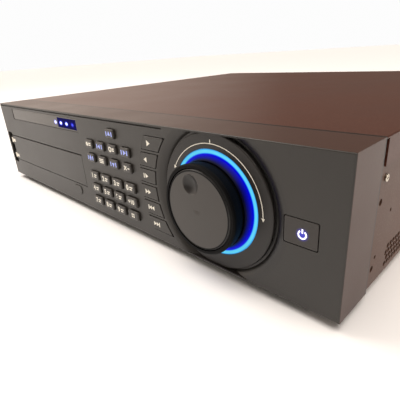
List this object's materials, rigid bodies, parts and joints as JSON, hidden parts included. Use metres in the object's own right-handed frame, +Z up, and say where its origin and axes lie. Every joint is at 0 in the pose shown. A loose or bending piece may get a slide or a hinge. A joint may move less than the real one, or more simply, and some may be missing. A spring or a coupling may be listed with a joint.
{
  "type": "digital video recorder",
  "caption": "Two-unit security video recorder with a lit jog and shuttle dial, keypad, transport keys, front door and rear sockets.",
  "frame": {"origin": "on the surface the feet stand on, under the middle of the overall box", "axes": "+X to the right seen from the front, -Y out of the front panel, +Z up"},
  "size_m": [0.44, 0.4652, 0.095],
  "materials": {
    "bezel_plastic": "fine matte moulded finish",
    "strip_plastic": "satin tinted window strip",
    "led_epoxy": "clear white light emitting diodes",
    "dial_plastic": "satin moulded plastic",
    "glow_acrylic": "translucent ring lit from behind",
    "gloss_black": "polished black plastic",
    "key_plastic": "matte moulded keys",
    "black_plastic": "black moulded plastic",
    "board_laminate": "green circuit board with parts",
    "plated_shell": "plated connector shells",
    "side_sheet": "textured dark powder coat",
    "cover_sheet": "fine metallic brown paint",
    "plated_sheet": "zinc plated sheet",
    "screw_steel": "bright plated steel",
    "foot_rubber": "soft black rubber",
    "black_aluminium": "black anodised",
    "cast_aluminium": "cast and machined",
    "nickel_brass": "nickel plated",
    "hinge_steel": "bright plated steel"
  },
  "bodies": {
    "case": {"front_bezel": "bezel_plastic", "window_strip": "strip_plastic", "status_leds": "led_epoxy", "dial_surround": "dial_plastic", "light_ring": "glow_acrylic", "dial_encoder": "black_plastic", "front_board": "board_laminate", "front_usb_sockets": "plated_shell", "chassis_base": "side_sheet", "rear_panel": "plated_sheet", "top_cover": "cover_sheet", "case_screws": "screw_steel", "rubber_feet": "foot_rubber", "main_board": "board_laminate", "heat_sink": "black_aluminium", "power_supply": "plated_sheet", "hard_drives": "cast_aluminium", "drive_cage": "plated_sheet", "fan_frames": "black_plastic", "bnc_sockets": "nickel_brass", "rca_sockets": "black_plastic", "data_sockets": "plated_shell", "power_inlet": "black_plastic"},
    "door": {"drive_door": "bezel_plastic", "door_hinges": "hinge_steel"},
    "jog": {"jog_dial": "dial_plastic"},
    "shuttle": {"shuttle_ring": "gloss_black"},
    "left_rotor": {"left_fan_rotor": "black_plastic"},
    "right_rotor": {"right_fan_rotor": "black_plastic"},
    "rocker": {"power_rocker": "black_plastic"},
    "key_up_cap": {"key_up": "key_plastic"},
    "key_record_cap": {"key_record": "key_plastic"},
    "key_left_cap": {"key_left": "key_plastic"},
    "key_enter_cap": {"key_enter": "key_plastic"},
    "key_right_cap": {"key_right": "key_plastic"},
    "key_shift_cap": {"key_shift": "key_plastic"},
    "key_function_cap": {"key_function": "key_plastic"},
    "key_down_cap": {"key_down": "key_plastic"},
    "key_escape_cap": {"key_escape": "key_plastic"},
    "number_key_1_cap": {"number_key_1": "key_plastic"},
    "number_key_2_cap": {"number_key_2": "key_plastic"},
    "number_key_3_cap": {"number_key_3": "key_plastic"},
    "number_key_0_cap": {"number_key_0": "key_plastic"},
    "number_key_4_cap": {"number_key_4": "key_plastic"},
    "number_key_5_cap": {"number_key_5": "key_plastic"},
    "number_key_6_cap": {"number_key_6": "key_plastic"},
    "key_plus_ten_cap": {"key_plus_ten": "key_plastic"},
    "number_key_7_cap": {"number_key_7": "key_plastic"},
    "number_key_8_cap": {"number_key_8": "key_plastic"},
    "number_key_9_cap": {"number_key_9": "key_plastic"},
    "key_split_view_cap": {"key_split_view": "key_plastic"},
    "play_key_cap": {"play_key": "key_plastic"},
    "reverse_key_cap": {"reverse_key": "key_plastic"},
    "slow_key_cap": {"slow_key": "key_plastic"},
    "fast_key_cap": {"fast_key": "key_plastic"},
    "previous_key_cap": {"previous_key": "key_plastic"},
    "next_key_cap": {"next_key": "key_plastic"},
    "power_button_cap": {"power_button": "key_plastic"},
    "door_release_cap": {"door_release": "key_plastic"}
  },
  "joints": [
    {"name": "key_up_press", "type": "slide", "parent": "case", "child": "key_up_cap", "axis": [0, 1, 0], "range_m": [0, 0.001], "stiffness_N_per_m": 400, "springref_m": -0.0006},
    {"name": "key_record_press", "type": "slide", "parent": "case", "child": "key_record_cap", "axis": [0, 1, 0], "range_m": [0, 0.001], "stiffness_N_per_m": 400, "springref_m": -0.0006},
    {"name": "key_left_press", "type": "slide", "parent": "case", "child": "key_left_cap", "axis": [0, 1, 0], "range_m": [0, 0.001], "stiffness_N_per_m": 400, "springref_m": -0.0006},
    {"name": "key_enter_press", "type": "slide", "parent": "case", "child": "key_enter_cap", "axis": [0, 1, 0], "range_m": [0, 0.001], "stiffness_N_per_m": 400, "springref_m": -0.0006},
    {"name": "key_right_press", "type": "slide", "parent": "case", "child": "key_right_cap", "axis": [0, 1, 0], "range_m": [0, 0.001], "stiffness_N_per_m": 400, "springref_m": -0.0006},
    {"name": "key_shift_press", "type": "slide", "parent": "case", "child": "key_shift_cap", "axis": [0, 1, 0], "range_m": [0, 0.001], "stiffness_N_per_m": 400, "springref_m": -0.0006},
    {"name": "key_function_press", "type": "slide", "parent": "case", "child": "key_function_cap", "axis": [0, 1, 0], "range_m": [0, 0.001], "stiffness_N_per_m": 400, "springref_m": -0.0006},
    {"name": "key_down_press", "type": "slide", "parent": "case", "child": "key_down_cap", "axis": [0, 1, 0], "range_m": [0, 0.001], "stiffness_N_per_m": 400, "springref_m": -0.0006},
    {"name": "key_escape_press", "type": "slide", "parent": "case", "child": "key_escape_cap", "axis": [0, 1, 0], "range_m": [0, 0.001], "stiffness_N_per_m": 400, "springref_m": -0.0006},
    {"name": "number_key_1_press", "type": "slide", "parent": "case", "child": "number_key_1_cap", "axis": [0, 1, 0], "range_m": [0, 0.001], "stiffness_N_per_m": 400, "springref_m": -0.0006},
    {"name": "number_key_2_press", "type": "slide", "parent": "case", "child": "number_key_2_cap", "axis": [0, 1, 0], "range_m": [0, 0.001], "stiffness_N_per_m": 400, "springref_m": -0.0006},
    {"name": "number_key_3_press", "type": "slide", "parent": "case", "child": "number_key_3_cap", "axis": [0, 1, 0], "range_m": [0, 0.001], "stiffness_N_per_m": 400, "springref_m": -0.0006},
    {"name": "number_key_0_press", "type": "slide", "parent": "case", "child": "number_key_0_cap", "axis": [0, 1, 0], "range_m": [0, 0.001], "stiffness_N_per_m": 400, "springref_m": -0.0006},
    {"name": "number_key_4_press", "type": "slide", "parent": "case", "child": "number_key_4_cap", "axis": [0, 1, 0], "range_m": [0, 0.001], "stiffness_N_per_m": 400, "springref_m": -0.0006},
    {"name": "number_key_5_press", "type": "slide", "parent": "case", "child": "number_key_5_cap", "axis": [0, 1, 0], "range_m": [0, 0.001], "stiffness_N_per_m": 400, "springref_m": -0.0006},
    {"name": "number_key_6_press", "type": "slide", "parent": "case", "child": "number_key_6_cap", "axis": [0, 1, 0], "range_m": [0, 0.001], "stiffness_N_per_m": 400, "springref_m": -0.0006},
    {"name": "key_plus_ten_press", "type": "slide", "parent": "case", "child": "key_plus_ten_cap", "axis": [0, 1, 0], "range_m": [0, 0.001], "stiffness_N_per_m": 400, "springref_m": -0.0006},
    {"name": "number_key_7_press", "type": "slide", "parent": "case", "child": "number_key_7_cap", "axis": [0, 1, 0], "range_m": [0, 0.001], "stiffness_N_per_m": 400, "springref_m": -0.0006},
    {"name": "number_key_8_press", "type": "slide", "parent": "case", "child": "number_key_8_cap", "axis": [0, 1, 0], "range_m": [0, 0.001], "stiffness_N_per_m": 400, "springref_m": -0.0006},
    {"name": "number_key_9_press", "type": "slide", "parent": "case", "child": "number_key_9_cap", "axis": [0, 1, 0], "range_m": [0, 0.001], "stiffness_N_per_m": 400, "springref_m": -0.0006},
    {"name": "key_split_view_press", "type": "slide", "parent": "case", "child": "key_split_view_cap", "axis": [0, 1, 0], "range_m": [0, 0.001], "stiffness_N_per_m": 400, "springref_m": -0.0006},
    {"name": "play_key_press", "type": "slide", "parent": "case", "child": "play_key_cap", "axis": [0, 1, 0], "range_m": [0, 0.001], "stiffness_N_per_m": 400, "springref_m": -0.0006},
    {"name": "reverse_key_press", "type": "slide", "parent": "case", "child": "reverse_key_cap", "axis": [0, 1, 0], "range_m": [0, 0.001], "stiffness_N_per_m": 400, "springref_m": -0.0006},
    {"name": "slow_key_press", "type": "slide", "parent": "case", "child": "slow_key_cap", "axis": [0, 1, 0], "range_m": [0, 0.001], "stiffness_N_per_m": 400, "springref_m": -0.0006},
    {"name": "fast_key_press", "type": "slide", "parent": "case", "child": "fast_key_cap", "axis": [0, 1, 0], "range_m": [0, 0.001], "stiffness_N_per_m": 400, "springref_m": -0.0006},
    {"name": "previous_key_press", "type": "slide", "parent": "case", "child": "previous_key_cap", "axis": [0, 1, 0], "range_m": [0, 0.001], "stiffness_N_per_m": 400, "springref_m": -0.0006},
    {"name": "next_key_press", "type": "slide", "parent": "case", "child": "next_key_cap", "axis": [0, 1, 0], "range_m": [0, 0.001], "stiffness_N_per_m": 400, "springref_m": -0.0006},
    {"name": "power_button_press", "type": "slide", "parent": "case", "child": "power_button_cap", "axis": [0, 1, 0], "range_m": [0, 0.001], "stiffness_N_per_m": 400, "springref_m": -0.0006},
    {"name": "door_release_press", "type": "slide", "parent": "case", "child": "door_release_cap", "axis": [0, 1, 0], "range_m": [0, 0.0012], "stiffness_N_per_m": 400, "springref_m": -0.0006},
    {"name": "jog_turn", "type": "hinge", "parent": "case", "child": "jog", "pos_m": [0.135, -0.22, 0.0505], "axis": [0, 1, 0], "continuous": true},
    {"name": "shuttle_turn", "type": "hinge", "parent": "case", "child": "shuttle", "pos_m": [0.135, -0.22, 0.0505], "axis": [0, 1, 0], "range_deg": [-75, 75], "stiffness_Nm_per_rad": 0.02},
    {"name": "door_swing", "type": "hinge", "parent": "case", "child": "door", "pos_m": [-0.207, -0.2181, 0.0415], "axis": [0, 0, -1], "range_deg": [0, 100]},
    {"name": "left_fan_spin", "type": "hinge", "parent": "case", "child": "left_rotor", "pos_m": [-0.044, 0.21, 0.0505], "axis": [0, 1, 0], "continuous": true},
    {"name": "right_fan_spin", "type": "hinge", "parent": "case", "child": "right_rotor", "pos_m": [0.02, 0.21, 0.0505], "axis": [0, 1, 0], "continuous": true},
    {"name": "rocker_tilt", "type": "hinge", "parent": "case", "child": "rocker", "pos_m": [-0.1515, 0.2174, 0.038], "axis": [1, 0, 0], "range_deg": [-18, 0]}
  ]
}
